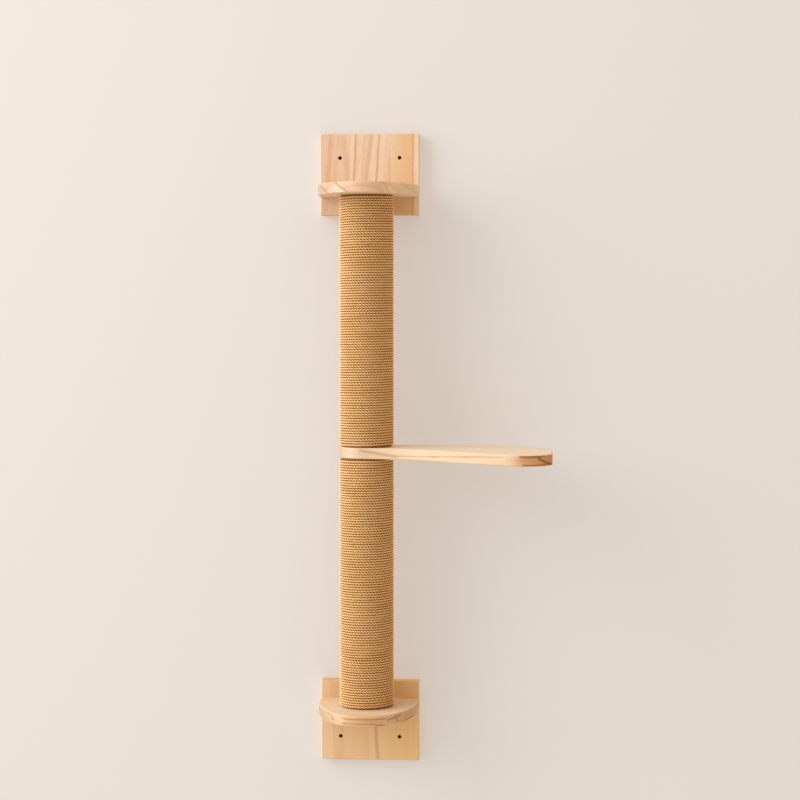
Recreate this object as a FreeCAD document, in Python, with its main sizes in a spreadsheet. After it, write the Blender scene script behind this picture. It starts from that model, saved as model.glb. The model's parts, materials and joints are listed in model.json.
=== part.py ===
"""A wall-mounted cat scratching post.

Two pine plates screw to the wall, one above the other. Each carries a half-oval bracket board. Between the
boards stand two rope-wound posts in one line, and a pine step board is clamped where the posts meet.

Millimetres, Z up. The origin lies in the wall plane, midway between the four wall screws. The wall is at
Y = 0 and the object stands out from it towards -Y, with X to the right. The lower half is the upper half
turned by half a turn about the wall's normal.
"""
import FreeCAD, Part
import math
import os
import re

import Sketcher

SIZES = (
    # Wall plates
    ("plate_width", 157.5, "width of the wall plates and of the bracket boards on them"),
    ("plate_height", 129.0, "height of a wall plate"),
    ("plate_thick", 17.0, "thickness of a wall plate"),
    ("plate_edge_round", 1.5, "rounding of a wall plate's front edges"),
    ("wall_hole_dia", 6.0, "wall screw hole"),
    ("wall_hole_spacing", 95.0, "distance between the two wall screw holes of a plate"),
    ("wall_hole_margin", 38.0, "wall screw hole to the plate's outer edge"),
    # Bracket boards
    ("axis_to_wall", 76.0, "post axis to the wall"),
    ("bracket_thick", 17.0, "thickness of a bracket board"),
    ("bracket_lift", 28.5, "plate's inner edge to the bracket board's face on the post"),
    ("bracket_side_end", 30.0, "where the straight sides end, from the post axis towards the wall"),
    ("bracket_nose_reach", 88.0, "post axis to the front of a bracket board"),
    ("bracket_nose_radius", 58.0, "radius of a bracket board's front"),
    ("bracket_edge_round", 2.0, "rounding of a bracket board's edges"),
    # Screws and dowels between a plate and its bracket board
    ("screw_dia", 4.0, "wood screw's shank"),
    ("screw_head_dia", 8.0, "wood screw's countersunk head"),
    ("screw_length", 45.0, "wood screw's length"),
    ("screw_tip", 5.0, "length of the wood screw's point"),
    ("screw_sink", 0.4, "head's depth below the plate's back"),
    ("screw_spacing", 112.0, "distance between the two wood screws"),
    ("screw_slot", 1.0, "width of one arm of the cross recess"),
    ("screw_slot_span", 4.4, "length of one arm of the cross recess"),
    ("screw_slot_depth", 1.6, "depth of the cross recess"),
    ("dowel_dia", 8.0, "dowel"),
    ("dowel_length", 30.0, "dowel's length"),
    ("dowel_plate_depth", 10.0, "dowel's length inside the plate"),
    ("dowel_spacing", 50.0, "distance between the two dowels"),
    ("dowel_bevel", 0.8, "bevel at a dowel's ends"),
    # Posts
    ("post_length", 393.0, "length of a post, from the step to a bracket board"),
    ("tube_dia", 77.5, "outer diameter of the paper tube"),
    ("tube_wall", 3.75, "wall of the paper tube"),
    ("plug_length", 25.0, "length of a wooden plug"),
    ("plug_bevel", 1.5, "bevel at a plug's inner end"),
    # Rope
    ("rope_dia", 3.5, "rope"),
    ("rope_seat_gap", 0.25, "rope to tube"),
    ("rope_row_gap", 0.42, "least room between two rows of rope"),
    ("rope_end_gap", 1.5, "last row of rope to the board beside it"),
    ("rope_tail", 6.0, "rope past the staple at its end"),
    ("staple_crown", 8.0, "staple's width"),
    ("staple_leg", 10.0, "staple's depth"),
    ("staple_wire", 0.9, "staple's wire"),
    # Threaded pieces in the posts
    ("thread_dia", 8.0, "bolts and stud"),
    ("thread_bevel", 0.8, "bevel at the ends of bolts and stud"),
    ("bolt_grip", 16.0, "bolt's or stud's length inside an insert"),
    ("bolt_head_dia", 18.0, "bolt head"),
    ("bolt_head_height", 2.2, "height of the bolt head"),
    ("bolt_head_bevel", 0.7, "bevel round the bolt head"),
    ("socket_width", 5.0, "hexagon socket across its flats"),
    ("socket_depth", 1.7, "depth of the hexagon socket"),
    ("washer_dia", 24.0, "washer"),
    ("washer_thick", 1.6, "thickness of a washer"),
    ("insert_dia", 12.0, "insert over its barbs"),
    ("insert_core_dia", 11.0, "insert between its barbs"),
    ("insert_length", 18.0, "length of an insert"),
    ("insert_flange_dia", 16.0, "flange of an insert"),
    ("insert_flange_thick", 1.5, "thickness of an insert's flange"),
    # Step board
    ("step_thick", 17.0, "thickness of the step board"),
    ("step_neck_rim", 0.1, "step board's round end past the rope"),
    ("step_reach", 291.0, "post axis to the step board's far end"),
    ("step_depth", 176.0, "post axis to the front of the step board"),
    ("step_front_radius", 44.5, "front corner of the step board"),
    ("step_back_radius", 115.0, "back corner of the step board"),
    ("step_waist_radius", 180.0, "hollow between the round end and the slanted front edge"),
    ("step_slant_offset", 8.0, "post axis to the line of the slanted front edge"),
    ("step_edge_round", 2.2, "rounding of the step board's edges"),
    # Clearances
    ("fit_gap", 0.05, "round pieces in the holes that hold them"),
    ("bolt_gap", 0.25, "bolts and stud in the boards that they pass through"),
    ("end_gap", 0.5, "end of a screw or dowel to the bottom of its hole"),
)

WINDINGS_PER_POST = 5
POINTS_PER_ROW = 24
INSERT_BARBS = 6

# Places along the post and across it, measured in the upper half
POST_BASE = "step_thick / 2"
BRACKET_FACE = f"({POST_BASE} + post_length)"
PLATE_EDGE = f"({BRACKET_FACE} - bracket_lift)"
BOLT_SEAT = f"({BRACKET_FACE} + bracket_thick + washer_thick)"
WALL_HOLE_HEIGHT = "(plate_height - wall_hole_margin)"
BRACKET_BACK = "(axis_to_wall - plate_thick)"
BRACKET_MIDDLE = "(bracket_lift + bracket_thick / 2)"
TUBE_BORE = "(tube_dia - 2 * tube_wall)"
ROPE_AXIS_RADIUS = "(tube_dia / 2 + rope_seat_gap + rope_dia / 2)"
ROPE_RADIUS = "(tube_dia / 2 + rope_seat_gap + rope_dia)"
BOLT_HOLE = "(thread_dia + 2 * bolt_gap)"
SCREW_HOLE = "(screw_dia + 2 * fit_gap)"
DOWEL_HOLE = "(dowel_dia + 2 * fit_gap)"

document = FreeCAD.newDocument("scratching_post")
sheet = document.addObject("Spreadsheet::Sheet", "sizes")
for row, (alias, size, meaning) in enumerate(SIZES, start=1):
    sheet.set(f"A{row}", meaning)
    sheet.set(f"B{row}", str(size))
    sheet.setAlias(f"B{row}", alias)
document.recompute()
ALIASES = {alias for alias, size, meaning in SIZES}
pieces = []


def formula(text):
    """Point each size named in a formula at its cell."""
    def cell(word):
        return f"{sheet.Name}.{word[0]}" if word[0] in ALIASES else word[0]
    return re.sub(r"[a-z_]+", cell, text)


def value(text):
    """The present value of a formula."""
    return float(sheet.evalExpression(formula(text)))


def new_body(label):
    """An empty body that becomes the piece of that name."""
    body = document.addObject("PartDesign::Body", label)
    body.Label = label
    pieces.append(body)
    return body


def place(piece, height, flipped=False, depth="-axis_to_wall"):
    """Put a piece at a height on the post axis, or at another depth, turned over if it is flipped."""
    half_turn = FreeCAD.Rotation(FreeCAD.Vector(0, 1, 0), 180)
    piece.Placement = FreeCAD.Placement(FreeCAD.Vector(), half_turn if flipped else FreeCAD.Rotation())
    piece.setExpression("Placement.Base.y", formula(depth))
    piece.setExpression("Placement.Base.z", formula(height))


def origin_feature(body, role):
    """One of a body's own planes or axes."""
    return next(feature for feature in body.Origin.OriginFeatures if feature.Role == role)


def new_sketch(body, plane, lift="0", shift="0"):
    """A sketch on one of the body's planes, lifted along its normal and shifted along its first axis."""
    sketch = body.newObject("Sketcher::SketchObject", f"{body.Name}_sketch")
    sketch.AttachmentSupport = (origin_feature(body, plane), [""])
    sketch.MapMode = "FlatFace"
    sketch.setExpression("AttachmentOffset.Base.z", formula(lift))
    sketch.setExpression("AttachmentOffset.Base.x", formula(shift))
    return sketch


def fix_size(sketch, kind, *where, text):
    """A dimension of a sketch, bound to a formula."""
    index = sketch.addConstraint(Sketcher.Constraint(kind, *where, value(text)))
    sketch.setExpression(f"Constraints[{index}]", formula(text))


def fix_point(sketch, geometry, end, x, y):
    """Hold one point of a sketch at the place that two formulas give."""
    for kind, text, axis in (("DistanceX", x, -2), ("DistanceY", y, -1)):
        if text == "0":
            sketch.addConstraint(Sketcher.Constraint("PointOnObject", geometry, end, axis))
        else:
            fix_size(sketch, kind, -1, 1, geometry, end, text=text)


def add_circle(sketch, x, y, diameter):
    """A circle given by its centre and diameter."""
    centre = FreeCAD.Vector(value(x), value(y), 0)
    circle = Part.Circle(centre, FreeCAD.Vector(0, 0, 1), value(diameter) / 2)
    index = sketch.addGeometry(circle, False)
    fix_point(sketch, index, 3, x, y)
    fix_size(sketch, "Diameter", index, text=diameter)


def add_polygon(sketch, corners):
    """A closed outline of straight lines through corners given by formulas."""
    points = [FreeCAD.Vector(value(x), value(y), 0) for x, y in corners]
    lines = []
    for start, end in zip(points, points[1:] + points[:1]):
        lines.append(sketch.addGeometry(Part.LineSegment(start, end), False))
    for line, following in zip(lines, lines[1:] + lines[:1]):
        sketch.addConstraint(Sketcher.Constraint("Coincident", line, 2, following, 1))
    for line, (x, y) in zip(lines, corners):
        fix_point(sketch, line, 1, x, y)


def add_line(sketch, start, end):
    """A straight line between two points."""
    return sketch.addGeometry(Part.LineSegment(FreeCAD.Vector(*start, 0), FreeCAD.Vector(*end, 0)), False)


def add_arc(sketch, centre, radius, first, last):
    """An arc that runs anticlockwise from one angle to another."""
    circle = Part.Circle(FreeCAD.Vector(*centre, 0), FreeCAD.Vector(0, 0, 1), radius)
    return sketch.addGeometry(Part.ArcOfCircle(circle, first, last), False)


def join_smoothly(sketch, *joints):
    """Make neighbouring lines and arcs meet end to end without a corner."""
    for one, one_end, other, other_end in joints:
        sketch.addConstraint(Sketcher.Constraint("Tangent", one, one_end, other, other_end))


def pad(body, sketch, length, midplane=False):
    """Thicken a sketch along its normal."""
    feature = body.newObject("PartDesign::Pad", f"{body.Name}_pad")
    feature.Profile = sketch
    feature.Midplane = midplane
    feature.setExpression("Length", formula(length))
    document.recompute()
    return feature


def pocket(body, sketch, depth=None, along_normal=False):
    """Cut a sketch into the body to a depth, or right through it."""
    before = body.Shape.Volume
    feature = body.newObject("PartDesign::Pocket", f"{body.Name}_pocket")
    feature.Profile = sketch
    feature.Reversed = along_normal
    if depth is None:
        feature.Type = "ThroughAll"
        feature.Midplane = True
    else:
        feature.setExpression("Length", formula(depth))
    document.recompute()
    if not body.Shape.Volume < before:
        raise RuntimeError(f"a cut in {body.Label} removes nothing")
    return feature


def revolve(body, sketch, axis):
    """Turn a sketch once round an axis."""
    feature = body.newObject("PartDesign::Revolution", f"{body.Name}_turned")
    feature.Profile = sketch
    feature.ReferenceAxis = axis
    document.recompute()
    return feature


def dress(body, kind, measure, text, chosen):
    """Round or bevel the edges that a test chooses."""
    base = body.Tip
    names = [f"Edge{count}" for count, edge in enumerate(base.Shape.Edges, start=1) if chosen(edge)]
    feature = body.newObject(f"PartDesign::{kind}", f"{body.Name}_{kind.lower()}")
    feature.Base = (base, names)
    feature.setExpression(measure, formula(text))
    document.recompute()
    return feature


def turned_body(label, profile):
    """A round piece about its own Z axis, from a profile of radius and height formulas."""
    body = new_body(label)
    sketch = new_sketch(body, "XZ_Plane")
    add_polygon(sketch, profile)
    revolve(body, sketch, (origin_feature(body, "Z_Axis"), [""]))
    return body


def lies_at(edge, axis, text):
    """Whether all of an edge lies at one place along X, Y or Z."""
    box = edge.BoundBox
    lowest = getattr(box, f"{axis}Min")
    highest = getattr(box, f"{axis}Max")
    nearness = value("fit_gap") / 2
    return abs(lowest - value(text)) < nearness and abs(highest - value(text)) < nearness


def is_circle(edge, diameter):
    """Whether an edge is a circle of a given diameter."""
    nearness = value("fit_gap") / 2
    return isinstance(edge.Curve, Part.Circle) and abs(2 * edge.Curve.Radius - value(diameter)) < nearness


def is_straight(edge):
    """Whether an edge is a straight line."""
    return isinstance(edge.Curve, Part.Line)


def wall_plate(label, height, flipped):
    """A pine plate with two wall screw holes, and the screw and dowel holes of its bracket board."""
    body = new_body(label)
    outline = new_sketch(body, "XZ_Plane")
    left, right = "-plate_width / 2", "plate_width / 2"
    add_polygon(outline, ((left, "0"), (right, "0"), (right, "plate_height"), (left, "plate_height")))
    pad(body, outline, "plate_thick")

    through = new_sketch(body, "XZ_Plane")
    blind = new_sketch(body, "XZ_Plane", lift="plate_thick")
    for side in ("-", ""):
        add_circle(through, f"{side}wall_hole_spacing / 2", WALL_HOLE_HEIGHT, "wall_hole_dia")
        add_circle(through, f"{side}screw_spacing / 2", BRACKET_MIDDLE, SCREW_HOLE)
        add_circle(blind, f"{side}dowel_spacing / 2", BRACKET_MIDDLE, DOWEL_HOLE)
    pocket(body, through)
    pocket(body, blind, "dowel_plate_depth + end_gap")

    dress(body, "Chamfer", "Size", "(screw_head_dia - screw_dia) / 2 + screw_sink",
          lambda edge: lies_at(edge, "Y", "0") and is_circle(edge, SCREW_HOLE))
    dress(body, "Fillet", "Radius", "plate_edge_round",
          lambda edge: is_straight(edge) and not lies_at(edge, "Y", "0"))
    place(body, height, flipped, depth="0")


def bracket_board(label, height, flipped):
    """A half-oval pine board that stands out from a plate, with straight sides and a round front."""
    body = new_body(label)
    half, nose = value("plate_width / 2"), value("bracket_nose_radius")
    back, side_end = value(BRACKET_BACK), value("bracket_side_end")
    nose_centre = nose - value("bracket_nose_reach")
    drop = side_end - nose_centre
    side_radius = (half ** 2 + drop ** 2 - nose ** 2) / (2 * (half - nose))
    sweep = math.atan2(drop, side_radius - half)

    outline = new_sketch(body, "XY_Plane")
    back_line = add_line(outline, (half, back), (-half, back))
    left_line = add_line(outline, (-half, back), (-half, side_end))
    left_arc = add_arc(outline, (side_radius - half, side_end), side_radius, math.pi, math.pi + sweep)
    nose_arc = add_arc(outline, (0, nose_centre), nose, math.pi + sweep, 2 * math.pi - sweep)
    right_arc = add_arc(outline, (half - side_radius, side_end), side_radius, -sweep, 0)
    right_line = add_line(outline, (half, side_end), (half, back))
    outline.addConstraint(Sketcher.Constraint("Coincident", back_line, 2, left_line, 1))
    outline.addConstraint(Sketcher.Constraint("Coincident", right_line, 2, back_line, 1))
    join_smoothly(outline, (left_line, 2, left_arc, 1), (left_arc, 2, nose_arc, 1),
                  (nose_arc, 2, right_arc, 1), (right_arc, 2, right_line, 1))
    fix_point(outline, left_line, 1, "-plate_width / 2", BRACKET_BACK)
    fix_point(outline, left_line, 2, "-plate_width / 2", "bracket_side_end")
    fix_point(outline, right_line, 1, "plate_width / 2", "bracket_side_end")
    fix_point(outline, right_line, 2, "plate_width / 2", BRACKET_BACK)
    fix_point(outline, nose_arc, 3, "0", "bracket_nose_radius - bracket_nose_reach")
    fix_size(outline, "Radius", nose_arc, text="bracket_nose_radius")
    pad(body, outline, "bracket_thick")
    dress(body, "Fillet", "Radius", "bracket_edge_round",
          lambda edge: (lies_at(edge, "Z", "0") or lies_at(edge, "Z", "bracket_thick"))
          and not lies_at(edge, "Y", BRACKET_BACK))

    bolt_hole = new_sketch(body, "XY_Plane")
    add_circle(bolt_hole, "0", "0", BOLT_HOLE)
    pocket(body, bolt_hole)
    screw_holes = new_sketch(body, "XZ_Plane", lift=f"-{BRACKET_BACK}")
    dowel_holes = new_sketch(body, "XZ_Plane", lift=f"-{BRACKET_BACK}")
    for side in ("-", ""):
        add_circle(screw_holes, f"{side}screw_spacing / 2", "bracket_thick / 2", SCREW_HOLE)
        add_circle(dowel_holes, f"{side}dowel_spacing / 2", "bracket_thick / 2", DOWEL_HOLE)
    pocket(body, screw_holes, "screw_length + screw_sink - plate_thick + end_gap", along_normal=True)
    pocket(body, dowel_holes, "dowel_length - dowel_plate_depth + end_gap", along_normal=True)
    place(body, height, flipped)


def bracket_screws(label, height, flipped):
    """Two countersunk wood screws, driven from the plate's back into the bracket board."""
    body = new_body(label)
    profile = new_sketch(body, "XY_Plane", shift="screw_spacing / 2")
    cone = "screw_sink + (screw_head_dia - screw_dia) / 2"
    add_polygon(profile, (
        ("0", "-screw_sink"),
        ("screw_head_dia / 2", "-screw_sink"),
        ("screw_dia / 2", f"-({cone})"),
        ("screw_dia / 2", "-(screw_sink + screw_length - screw_tip)"),
        ("0", "-(screw_sink + screw_length)"),
    ))
    shank = revolve(body, profile, (profile, ["V_Axis"]))
    recess = new_sketch(body, "XZ_Plane", lift="screw_sink", shift="screw_spacing / 2")
    arm, span = "screw_slot / 2", "screw_slot_span / 2"
    add_polygon(recess, (
        (arm, arm), (arm, span), (f"-{arm}", span), (f"-{arm}", arm),
        (f"-{span}", arm), (f"-{span}", f"-{arm}"), (f"-{arm}", f"-{arm}"), (f"-{arm}", f"-{span}"),
        (arm, f"-{span}"), (arm, f"-{arm}"), (span, f"-{arm}"), (span, arm),
    ))
    cross = pocket(body, recess, "screw_slot_depth", along_normal=True)
    pair = body.newObject("PartDesign::Mirrored", f"{body.Name}_pair")
    pair.Originals = [shank, cross]
    pair.MirrorPlane = (origin_feature(body, "YZ_Plane"), [""])
    body.Tip = pair
    place(body, height, flipped, depth="0")


def bracket_dowels(label, height, flipped):
    """Two wooden dowels between a plate and its bracket board."""
    body = new_body(label)
    ends = new_sketch(body, "XZ_Plane", lift="plate_thick - dowel_plate_depth")
    for side in ("-", ""):
        add_circle(ends, f"{side}dowel_spacing / 2", "0", "dowel_dia")
    pad(body, ends, "dowel_length")
    dress(body, "Chamfer", "Size", "dowel_bevel", lambda edge: not is_straight(edge))
    place(body, height, flipped, depth="0")


def post_tube(label, height, flipped):
    """A thick paper tube that the rope is wound on."""
    body = new_body(label)
    ring = new_sketch(body, "XY_Plane")
    add_circle(ring, "0", "0", "tube_dia")
    add_circle(ring, "0", "0", TUBE_BORE)
    pad(body, ring, "post_length")
    place(body, height, flipped)


def post_plug(label, height, flipped):
    """A wooden plug flush with a tube's end, bored for its threaded insert."""
    rim = f"({TUBE_BORE} / 2 - fit_gap)"
    bore = "(insert_dia / 2 + fit_gap)"
    recess = "(insert_flange_dia / 2 + fit_gap)"
    floor = "(insert_flange_thick + fit_gap)"
    body = turned_body(label, (
        (recess, "0"),
        (rim, "0"),
        (rim, "plug_length - plug_bevel"),
        (f"{rim} - plug_bevel", "plug_length"),
        (bore, "plug_length"),
        (bore, floor),
        (recess, floor),
    ))
    place(body, height, flipped)


def post_insert(label, height, flipped):
    """A barbed threaded insert, its flange let in flush with the plug's face."""
    bore = "(thread_dia / 2 + fit_gap)"
    barb = f"(insert_length - insert_flange_thick) / {INSERT_BARBS}"
    profile = [(bore, "0"), ("insert_flange_dia / 2", "0"), ("insert_flange_dia / 2", "insert_flange_thick")]
    for count in range(INSERT_BARBS):
        profile.append(("insert_dia / 2", f"insert_flange_thick + {count} * {barb}"))
        profile.append(("insert_core_dia / 2", f"insert_flange_thick + {count + 1} * {barb}"))
    profile.append((bore, "insert_length"))
    body = turned_body(label, profile)
    place(body, height, flipped)


def post_bolt(label, height, flipped):
    """A flat-head bolt with a hexagon socket, from the bracket board's outer side into the post."""
    reach = "(washer_thick + bracket_thick + bolt_grip)"
    shank, head = "thread_dia / 2", "bolt_head_dia / 2"
    body = turned_body(label, (
        ("0", f"-{reach}"),
        (f"{shank} - thread_bevel", f"-{reach}"),
        (shank, f"thread_bevel - {reach}"),
        (shank, "0"),
        (head, "0"),
        (head, "bolt_head_height - bolt_head_bevel"),
        (f"{head} - bolt_head_bevel", "bolt_head_height"),
        ("0", "bolt_head_height"),
    ))
    socket = new_sketch(body, "XY_Plane", lift="bolt_head_height")
    corner = f"socket_width / {math.sqrt(3)}"
    add_polygon(socket, (
        (corner, "0"), (f"{corner} / 2", "socket_width / 2"), (f"-{corner} / 2", "socket_width / 2"),
        (f"-{corner}", "0"), (f"-{corner} / 2", "-socket_width / 2"), (f"{corner} / 2", "-socket_width / 2"),
    ))
    pocket(body, socket, "socket_depth")
    place(body, height, flipped)


def bolt_washer(label, height, flipped):
    """A flat washer under a bolt head."""
    body = new_body(label)
    ring = new_sketch(body, "XY_Plane")
    add_circle(ring, "0", "0", "washer_dia")
    add_circle(ring, "0", "0", BOLT_HOLE)
    pad(body, ring, "washer_thick")
    place(body, height, flipped)


def step_stud():
    """The threaded stud that passes through the step board and draws the two posts together."""
    half, radius = f"({POST_BASE} + bolt_grip)", "thread_dia / 2"
    body = turned_body("step_stud", (
        ("0", f"-{half}"),
        (f"{radius} - thread_bevel", f"-{half}"),
        (radius, f"thread_bevel - {half}"),
        (radius, f"{half} - thread_bevel"),
        (f"{radius} - thread_bevel", half),
        ("0", half),
    ))
    place(body, "0")


def step_board():
    """The pine step: round at the post, straight along the wall, slanted in front, with rounded corners."""
    body = new_body("step_board")
    neck_text = f"{ROPE_RADIUS} + step_neck_rim"
    neck, reach = value(neck_text), value("step_reach")
    front, rear = value("step_front_radius"), value("step_back_radius")
    waist, offset = value("step_waist_radius"), value("step_slant_offset")
    front_centre = FreeCAD.Vector(reach - front, front - value("step_depth"), 0)
    bearing = math.atan2(-front_centre.y, front_centre.x)
    slant = bearing - math.asin((offset - front) / front_centre.Length)
    along = FreeCAD.Vector(math.cos(slant), -math.sin(slant), 0)
    outward = FreeCAD.Vector(-math.sin(slant), -math.cos(slant), 0)
    run = math.sqrt((neck + waist) ** 2 - (offset + waist) ** 2)
    waist_centre = outward * (offset + waist) + along * run
    waist_foot = waist_centre - outward * waist
    front_foot = front_centre + outward * front
    outward_angle = math.atan2(outward.y, outward.x)
    neck_end = math.atan2(waist_centre.y, waist_centre.x)

    outline = new_sketch(body, "XY_Plane")
    neck_arc = add_arc(outline, (0, 0), neck, math.pi / 2, neck_end + 2 * math.pi)
    waist_arc = add_arc(outline, (waist_centre.x, waist_centre.y), waist,
                        outward_angle + math.pi, neck_end + math.pi)
    slant_line = add_line(outline, (waist_foot.x, waist_foot.y), (front_foot.x, front_foot.y))
    front_arc = add_arc(outline, (front_centre.x, front_centre.y), front, outward_angle, 0)
    end_line = add_line(outline, (reach, front_centre.y), (reach, neck - rear))
    rear_arc = add_arc(outline, (reach - rear, neck - rear), rear, 0, math.pi / 2)
    rear_line = add_line(outline, (reach - rear, neck), (0, neck))
    join_smoothly(outline, (neck_arc, 2, waist_arc, 2), (waist_arc, 1, slant_line, 1),
                  (slant_line, 2, front_arc, 1), (front_arc, 2, end_line, 1), (end_line, 2, rear_arc, 1),
                  (rear_arc, 2, rear_line, 1), (rear_line, 2, neck_arc, 1))
    outline.addConstraint(Sketcher.Constraint("Coincident", neck_arc, 3, -1, 1))
    outline.addConstraint(Sketcher.Constraint("Horizontal", rear_line))
    outline.addConstraint(Sketcher.Constraint("Vertical", end_line))
    fix_size(outline, "Radius", neck_arc, text=neck_text)
    fix_size(outline, "Radius", front_arc, text="step_front_radius")
    fix_size(outline, "Radius", rear_arc, text="step_back_radius")
    fix_size(outline, "Radius", waist_arc, text="step_waist_radius")
    fix_size(outline, "DistanceX", -1, 1, end_line, 1, text="step_reach")
    fix_size(outline, "DistanceY", -1, 1, front_arc, 3, text="step_front_radius - step_depth")
    fix_size(outline, "Distance", -1, 1, slant_line, text="step_slant_offset")
    pad(body, outline, "step_thick", midplane=True)
    dress(body, "Fillet", "Radius", "step_edge_round",
          lambda edge: lies_at(edge, "Z", "step_thick / 2") or lies_at(edge, "Z", "-step_thick / 2"))
    hole = new_sketch(body, "XY_Plane")
    add_circle(hole, "0", "0", BOLT_HOLE)
    pocket(body, hole)
    place(body, "0")


def rope_course():
    """The rope's helix on one post: rise of a row, first angle and whole sweep."""
    tail_angle = value(f"(staple_crown / 2 + rope_tail) / {ROPE_AXIS_RADIUS}")
    height = value("post_length - 2 * rope_end_gap - rope_dia")
    rows = math.floor(height / value("rope_dia + rope_row_gap") - tail_angle / math.pi)
    sweep = 2 * math.pi * rows + 2 * tail_angle
    rise = height / sweep
    return rise, math.pi / 2 - tail_angle, sweep


def rope_point(turn):
    """A point of the rope's middle line and its direction there, a given angle after its first end."""
    rise, first_angle, sweep = rope_course()
    radius = value(ROPE_AXIS_RADIUS)
    start = value("rope_end_gap + rope_dia / 2")
    angle = first_angle + turn
    point = FreeCAD.Vector(radius * math.cos(angle), radius * math.sin(angle), start + rise * turn)
    heading = FreeCAD.Vector(-radius * math.sin(angle), radius * math.cos(angle), rise)
    return point, heading.normalize()


def arc_edge(start, heading, end):
    """The arc that leaves a point in a given direction and passes through another point."""
    chord = end - start
    straight = FreeCAD.Vector(chord).normalize()
    half_angle = heading.getAngle(straight)
    side = (heading - straight * heading.dot(straight)).normalize()
    height = chord.Length / 2 * math.tan(half_angle / 2)
    return Part.Arc(start, start + chord / 2 + side * height, end).toShape()


def biarc_edges(start, start_heading, end, end_heading):
    """Two arcs that join two points smoothly in the directions given there."""
    chord = end - start
    headings = start_heading + end_heading
    square = headings.dot(headings) - 4
    linear = -2 * chord.dot(headings)
    reach = (-linear - math.sqrt(linear ** 2 - 4 * square * chord.dot(chord))) / (2 * square)
    first_corner = start + start_heading * reach
    second_corner = end - end_heading * reach
    middle = (first_corner + second_corner) / 2
    middle_heading = (second_corner - first_corner).normalize()
    return [arc_edge(start, start_heading, middle), arc_edge(middle, middle_heading, end)]


def least_row_gap(wire):
    """The smallest room between neighbouring rows of a winding, measured on points of its middle line."""
    rise, first_angle, sweep = rope_course()
    row_length = 2 * math.pi * math.hypot(value(ROPE_AXIS_RADIUS), rise)
    points = wire.discretize(Distance=row_length / POINTS_PER_ROW)
    nearest = math.inf
    for index, point in enumerate(points):
        for other in points[index + POINTS_PER_ROW // 2:index + 2 * POINTS_PER_ROW]:
            nearest = min(nearest, point.distanceToPoint(other))
    return nearest - value("rope_dia")


def rope_winding(label, height, flipped, order):
    """One stretch of a post's rope, an unbroken tube wound on the paper tube."""
    rise, first_angle, sweep = rope_course()
    stretch = sweep / WINDINGS_PER_POST
    half_turns = math.ceil(stretch / math.pi)
    turns = [stretch * (order + count / half_turns) for count in range(half_turns + 1)]
    places = [rope_point(turn) for turn in turns]
    edges = []
    for (start, start_heading), (end, end_heading) in zip(places, places[1:]):
        edges += biarc_edges(start, start_heading, end, end_heading)
    first, first_heading = places[0]
    if order == 0:
        tail = first - first_heading * value("rope_dia")
        edges.insert(0, Part.LineSegment(tail, first).toShape())
        first = tail
    if order == WINDINGS_PER_POST - 1:
        last, last_heading = places[-1]
        edges.append(Part.LineSegment(last, last + last_heading * value("rope_dia")).toShape())
    wire = Part.Wire(edges)
    section = Part.Wire([Part.Circle(first, first_heading, value("rope_dia / 2")).toShape()])
    shell = Part.BRepOffsetAPI.MakePipeShell(wire)
    shell.add(section)
    shell.build()
    shell.makeSolid()
    winding = document.addObject("Part::Feature", label)
    winding.Label = label
    winding.Shape = shell.shape()
    pieces.append(winding)
    place(winding, height, flipped)
    loops = stretch / (2 * math.pi)
    print(f"{label}: {loops:.2f} loops, least gap {least_row_gap(wire):.3f} mm")


def rope_staples(label, height, flipped):
    """Two staples at the back of a post, one at each end of its rope, driven through it into the plugs."""
    body = new_body(label)
    top = f"({ROPE_RADIUS} + fit_gap + staple_wire)"
    under = f"({ROPE_RADIUS} + fit_gap)"
    tip = f"({top} - staple_leg)"
    bevel = f"({tip} + staple_wire)"
    outer, inner = "staple_crown / 2", "(staple_crown / 2 - staple_wire)"
    climb = "rope_end_gap + rope_dia / 2"
    for lift in (climb, f"post_length - ({climb})"):
        shape = new_sketch(body, "XY_Plane", lift=lift)
        add_polygon(shape, (
            (f"-{outer}", top), (f"-{outer}", tip), (f"-{inner}", bevel), (f"-{inner}", under),
            (inner, under), (inner, bevel), (outer, tip), (outer, top),
        ))
        pad(body, shape, "staple_wire", midplane=True)
    place(body, height, flipped)


for half, sign, turned in (("upper", "", False), ("lower", "-", True)):
    wall_plate(f"{half}_wall_plate", f"{sign}{PLATE_EDGE}", turned)
    bracket_board(f"{half}_bracket_board", f"{sign}{BRACKET_FACE}", turned)
    screw_line = f"{sign}({PLATE_EDGE} + {BRACKET_MIDDLE})"
    bracket_screws(f"{half}_bracket_screws", screw_line, turned)
    bracket_dowels(f"{half}_bracket_dowels", screw_line, turned)
    post_tube(f"{half}_post_tube", f"{sign}{POST_BASE}", turned)
    for end, seat, over in (("inner", POST_BASE, turned), ("outer", BRACKET_FACE, not turned)):
        post_plug(f"{half}_post_{end}_plug", f"{sign}{seat}", over)
        post_insert(f"{half}_post_{end}_insert", f"{sign}{seat}", over)
    bolt_washer(f"{half}_bolt_washer", f"{sign}({BRACKET_FACE} + bracket_thick)", turned)
    post_bolt(f"{half}_post_bolt", f"{sign}{BOLT_SEAT}", turned)
    for order in range(WINDINGS_PER_POST):
        rope_winding(f"{half}_rope_winding_{order + 1}", f"{sign}{POST_BASE}", turned, order)
    rope_staples(f"{half}_rope_staples", f"{sign}{POST_BASE}", turned)
step_stud()
step_board()
document.recompute()

for item in document.Objects:
    if "Invalid" in item.State or "Error" in item.State:
        raise RuntimeError(f"{item.Label} failed: {item.State}")
for piece in pieces:
    if piece.Shape.isNull() or not piece.Shape.isValid():
        raise RuntimeError(f"{piece.Label} has no valid shape")

os.makedirs("parts", exist_ok=True)
for piece in pieces:
    piece.Shape.exportStep(f"parts/{piece.Label}.step")
print(f"{len(pieces)} pieces written")
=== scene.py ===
import json
import math
import random

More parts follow.
